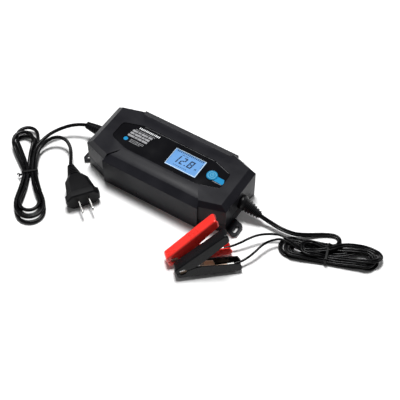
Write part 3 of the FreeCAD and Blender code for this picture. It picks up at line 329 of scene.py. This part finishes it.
def placed(points, place):
    """Points of a hank's own frame, where they are on the charger."""
    return [tuple(place @ Vector(point)) for point in points]


def beside(points, shift):
    """Points to the left of a line seen from above, or to its right for a negative shift."""
    moved = []
    for index, point in enumerate(points):
        back = points[max(index - 1, 0)]
        ahead = points[min(index + 1, len(points) - 1)]
        along = math.hypot(ahead[0] - back[0], ahead[1] - back[1])
        moved.append((point[0] - (ahead[1] - back[1]) / along * shift,
                      point[1] + (ahead[0] - back[0]) / along * shift, point[2]))
    return moved


def cord(name, points, diameter):
    """A round cord along its route, in millimetres."""
    line = bpy.data.curves.new(name, "CURVE")
    line.dimensions = "3D"
    line.bevel_depth = diameter / 2 * MM
    line.bevel_resolution = 5
    line.resolution_u = 8
    line.use_fill_caps = True
    spline = line.splines.new("NURBS")
    spline.points.add(len(points) - 1)
    for place, point in zip(spline.points, points):
        place.co = (point[0] * MM, point[1] * MM, point[2] * MM, 1)
    spline.order_u = 3
    spline.use_endpoint_u = True
    line.materials.append(FINISH["cord_black"])
    thing = bpy.data.objects.new(name, line)
    bpy.context.scene.collection.objects.link(thing)
    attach(thing, "charger")
    return thing


TIE_CORNER = 2.2
TIE_BOTTOM = 0.45
TIE_HALF_WIDTH = 1.3
TIE_HALF_THICKNESS = 0.35
TIE_WIRE_RADIUS = 0.62
TIE_STRAND_SPREAD = 0.66
TIE_TWISTS = 2.5
TIE_STEPS = 32
TIE_PART_STEP = 25
TIE_PART_SPREAD = 0.34


def band(name, place, low, high, height, knot):
    """A flat wire tie round a hank's waist, with its ends twisted together beside it."""
    left = low + TIE_CORNER
    right = high - TIE_CORNER
    top = height - TIE_CORNER
    bottom = TIE_BOTTOM + TIE_CORNER
    loop = []
    for w, z, start in ((right, top, 0), (left, top, 90), (left, bottom, 180), (right, bottom, 270)):
        for step in range(5):
            angle = math.radians(start + 22.5 * step)
            loop.append((0, w + TIE_CORNER * math.cos(angle), z + TIE_CORNER * math.sin(angle)))
    along = place.to_3x3() @ Vector((1, 0, 0))
    ribbon = [(a * TIE_HALF_WIDTH, b * TIE_HALF_THICKNESS) for a, b in ((-1, -1), (1, -1), (1, 1), (-1, 1))]
    hoop = sweep(name, placed(loop, place), (ribbon, lambda point, way: along), "tie_black", closed=True)
    wire = disc(0, 0, TIE_WIRE_RADIUS, 10)
    root, tip = (Vector(end) for end in knot)
    way = (tip - root).normalized()
    side = way.orthogonal().normalized()
    other = way.cross(side)
    ends = []
    for strand in (0, 1):
        twist = []
        for step in range(TIE_STEPS + 1):
            turn = math.tau * TIE_TWISTS * step / TIE_STEPS + math.pi * strand
            spread = TIE_STRAND_SPREAD + TIE_PART_SPREAD * max(0, step - TIE_PART_STEP)
            twist.append(root + way * (tip - root).length * step / TIE_STEPS
                         + (side * math.cos(turn) + other * math.sin(turn)) * spread)
        ends.append(sweep("%s_end_%d" % (name, strand + 1), placed(twist, place),
                          (wire, lambda point, course: course.orthogonal()), "tie_black"))
    return [hoop] + ends


mains = cord("mains_cord_line", MAINS_RUN + placed(MAINS_HANK, MAINS_FRAME) + PLUG_RUN, MAINS_DIAMETER)
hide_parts("mains_cord", "mains_hank", "plug_cord")
mains_tie = band("mains_cord_tie", MAINS_FRAME, -9.6, 9.7, 9.4, ((0, -9.4, 4.6), (1.6, -14, 6.4)))
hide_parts("mains_tie")

pair = OUTPUT_RUN + placed(OUTPUT_HANK, OUTPUT_FRAME)
red = cord("red_lead_line", beside(pair, -LEAD_SHIFT) + RED_RUN, LEAD_DIAMETER)
black = cord("black_lead_line", beside(pair, LEAD_SHIFT) + BLACK_RUN, LEAD_DIAMETER)
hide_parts("output_cord", "output_hank", "red_lead")
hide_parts("black_lead")
output_tie = band("output_lead_tie", OUTPUT_FRAME, -12.1, 12.2, 11.2, ((0, 6, 11.2), (1.8, 9.6, 13.6)))
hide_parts("output_tie")

# ---------------------------------------------------------------- print on the face, and a painted highlight along the label's edge
PRINT_WHITE = surface("print_white", (0.62, 0.63, 0.64), 0.4, mottle=0.2, patch=400)
PRINT_GREY = surface("print_grey", (0.20, 0.20, 0.21), 0.4, mottle=0.25, patch=400)
PRINT_BLUE = surface("print_blue", (0.004, 0.19, 0.40), 0.4, {"Specular IOR Level": 0.1}, mottle=0.06)
ICON_CYAN = surface("icon_cyan", (0.16, 0.42, 0.56), 0.4, {"Specular IOR Level": 0.1}, mottle=0.06)
# Painted highlight: a grey colour standing in for the light that the label plate's rim catches.
PAINTED_EDGE_HIGHLIGHT = surface("painted_highlight_finish", (0.09, 0.09, 0.095), 0.35, mottle=0.2, patch=200)
LCD_DARK = surface("lcd_dark", (0.002, 0.005, 0.025), 0.3, {"Specular IOR Level": 0.1}, mottle=0.05)
LCD_RIM = surface("lcd_rim", (0.42, 0.52, 0.60), 0.3, {"Emission Color": (0.35, 0.5, 0.65, 1),
                                                      "Emission Strength": 0.25}, mottle=0.1)
INK = 0.04
THIN_INK = 0.03
WORD_HEIGHT = 3.0
WORD_GAP = 0.8
FINE_HEIGHT = 0.7
FINE_GAP = 0.5
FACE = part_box("label_plate")[1][2] / MM
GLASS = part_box("display_window")[1][2] / MM
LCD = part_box("lcd_panel")[1][2] / MM


def dashes(x, y, lengths, height, gap):
    """A row of short bars from the left."""
    row = []
    for length in lengths:
        row.append(bar(x, y, length, height))
        x += length + gap
    return row


mark = [bar(-54.4 + 2.3 * k, 13.7, 1.2, 2.8, 0.2) for k in range(13)]
plates("print_heading", mark, FACE, FACE + INK, "label_film", PRINT_WHITE)
words = dashes(-59.4, 6.8, (7.4, 3.8, 8.8, 5.4), WORD_HEIGHT, WORD_GAP) \
    + dashes(-60.2, 2.5, (5.4, 9.8, 3.3, 6.4), WORD_HEIGHT, WORD_GAP) \
    + dashes(-61, -1.8, (9.2, 3.6, 5.0, 7.4), WORD_HEIGHT, WORD_GAP)
plates("print_words", words, FACE, FACE + INK, "label_film", PRINT_GREY)
fine_print = dashes(-57, 10.9, (3, 2, 4, 2.6, 3.4, 2.2, 3.8, 2.8), FINE_HEIGHT, FINE_GAP) \
    + dashes(-53.6, -5.4, (3.8, 2.6, 3.4, 4.6, 2.4), FINE_HEIGHT, FINE_GAP) \
    + dashes(-53.8, -7.3, (2.6, 4.4, 2.4, 4, 3.4), FINE_HEIGHT, FINE_GAP) \
    + dashes(-54, -9.2, (4.4, 2.8, 4.2, 2.4), FINE_HEIGHT, FINE_GAP)
plates("print_lines", fine_print, FACE, FACE + INK, "label_film", PRINT_GREY)
plates("print_dot", [disc(-59.6, -7.0, 2.8)], FACE, FACE + INK, "label_film", PRINT_BLUE)
button_bar = [(63.4, -5.6), (75.9, -6.2), (76.3, -2.8), (74.4, 1.4), (64.0, 1.9)]
plates("print_button_bar", [button_bar], FACE, FACE + INK, "label_film", PRINT_BLUE)
button_lines = dashes(62.6, -7.2, (2.4, 3.4, 2.0, 3.2), 0.6, 0.4)
plates("print_button_lines", button_lines, FACE, FACE + INK, "label_film", PRINT_GREY)
# Painted highlight: thin grey strips along the label's back edge and its back right corner, where the plate's
# rim catches the light.
back_edge_highlight = [(-50, 19.9), (50, 19.9), (50, 20.25), (-50, 20.25)]
corner_edge_highlight = [(52, 19.4), (73.6, 12.6), (73.6, 13.0), (52, 19.8)]
plates("painted_label_edge_highlight", [back_edge_highlight, corner_edge_highlight], FACE, FACE + THIN_INK, "label_film", PAINTED_EDGE_HIGHLIGHT)

# ---------------------------------------------------------------- button icon
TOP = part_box("mode_button")[1][2] / MM
BUTTON_X = 58.6
BUTTON_Y = -0.2
strokes = [arc_bar(BUTTON_X, BUTTON_Y, 4.6, 5.1, 0, 172), arc_bar(BUTTON_X, BUTTON_Y, 4.6, 5.1, 180, 352),
           arc_bar(BUTTON_X, BUTTON_Y, 1.9, 2.5, 120, 420), bar(BUTTON_X - 0.3, BUTTON_Y + 0.4, 0.6, 3.0)]
icon = plates("button_icon", strokes, TOP, TOP + 0.05, "button_cyan", ICON_CYAN)
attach(icon, "mode_button")

# ---------------------------------------------------------------- display picture
SEGMENTS = {"1": "bc", "2": "abged", "8": "abcdefg"}


def digit(figure, x, y, width=6.2, height=11.4, stroke=1.6, slant=0.16):
    """The bars of one seven-part figure, from its lower left corner."""
    half = height / 2
    gap = 0.25
    across = width - 2 * stroke
    tall = half - gap
    spots = {"a": (stroke, height - stroke, across, stroke), "b": (width - stroke, half + gap, stroke, tall),
             "c": (width - stroke, 0, stroke, tall), "d": (stroke, 0, across, stroke),
             "e": (0, 0, stroke, tall), "f": (0, half + gap, stroke, tall),
             "g": (stroke, half - stroke / 2, across, stroke)}
    return [bar(x + right + slant * up, y + up, length, thick, slant)
            for right, up, length, thick in (spots[letter] for letter in SEGMENTS[figure])]


figures = digit("1", 5.0, -5.2) + digit("2", 14.0, -5.2) + digit("8", 24.6, -5.2)
figures.append(disc(22.3, -4.4, 0.9, 16))
charge_steps = [bar(9.5 + 2.4 * k, -9.4, 1.5, 0.9) for k in range(8)]
unit_sign = [bar(35.4, -4.2, 0.8, 2.4, 0.2), bar(36.8, -4.2, 0.8, 2.4, 0.2)]
status = [bar(11.6, 8.0, 4.4, 0.8), bar(17.2, 8.0, 3.2, 0.8)]
plates("display_figures", figures + charge_steps + unit_sign + status, LCD, LCD + THIN_INK, "lcd", LCD_DARK)
ticks = [bar(3.4 + 2.35 * k, 10.4, 1.1, 2.4) for k in range(16)]
side_ticks = [bar(40.4, 6.6 - 2.2 * k, 1.6, 0.8) for k in range(3)]
plates("display_ticks", ticks + side_ticks, LCD, LCD + THIN_INK, "lcd", LCD_DARK)
WIDE_RIM = 0.9
THIN_RIM = 0.5
low_x, low_y, high_x, high_y = 0.5, -13.8, 43.1, 13.2
rim_height = high_y - low_y - WIDE_RIM
rim_length = high_x - low_x - WIDE_RIM - THIN_RIM
rim = [bar(low_x, low_y, high_x - low_x, WIDE_RIM),
       bar(high_x - WIDE_RIM, low_y + WIDE_RIM, WIDE_RIM, rim_height),
       bar(low_x, low_y + WIDE_RIM, THIN_RIM, rim_height),
       bar(low_x + THIN_RIM, high_y - THIN_RIM, rim_length, THIN_RIM)]
plates("display_rim", rim, GLASS, GLASS + 0.05, "window", LCD_RIM)

# ---------------------------------------------------------------- floor, light and camera
FLOOR = surface("studio_floor", (0.86, 0.86, 0.86), 0.9, {"Specular IOR Level": 0.1}, mottle=0.01, bump=0.05)
FLOOR_REACH = 6
FLOOR_LEVEL = -0.0003
LIT_POINT = Vector((0, 0, 0.02))
sheet = bpy.data.meshes.new("studio_floor")
sheet.from_pydata([(x * FLOOR_REACH, y * FLOOR_REACH, FLOOR_LEVEL)
                   for x, y in ((-1, -1), (1, -1), (1, 1), (-1, 1))], [], [(0, 1, 2, 3)])
sheet.materials.append(FLOOR)
ground = bpy.data.objects.new("studio_floor", sheet)
bpy.context.scene.collection.objects.link(ground)


def softbox(name, place, size, power):
    """A white area light that faces the middle of the charger."""
    lamp = bpy.data.lights.new(name, "AREA")
    lamp.shape = "RECTANGLE"
    lamp.size, lamp.size_y = size
    lamp.energy = power
    thing = bpy.data.objects.new(name, lamp)
    thing.location = place
    thing.rotation_euler = (LIT_POINT - Vector(place)).to_track_quat("-Z", "Y").to_euler()
    bpy.context.scene.collection.objects.link(thing)


softbox("key", (-0.3, 0.42, 2.05), (0.6, 0.6), 61)
softbox("left", (-1.6, -1.1, 0.35), (0.8, 0.5), 9)
softbox("back", (0.6, 1.5, 0.75), (1.0, 0.6), 7)
world = bpy.data.worlds.new("studio")
world.use_nodes = True
world.node_tree.nodes["Background"].inputs["Color"].default_value = (1, 1, 1, 1)
world.node_tree.nodes["Background"].inputs["Strength"].default_value = 0.11
bpy.context.scene.world = world

lens = bpy.data.cameras.new("camera")
lens.lens = 89.91
lens.sensor_width = 36
lens.clip_start = 0.01
eye = bpy.data.objects.new("camera", lens)
eye.location = (0.4335, -0.6204, 0.9667)
eye.rotation_euler = (math.radians(36.81), 0, math.radians(32.27))
bpy.context.scene.collection.objects.link(eye)
bpy.context.scene.camera = eye
bpy.context.scene.view_settings.view_transform = "Standard"
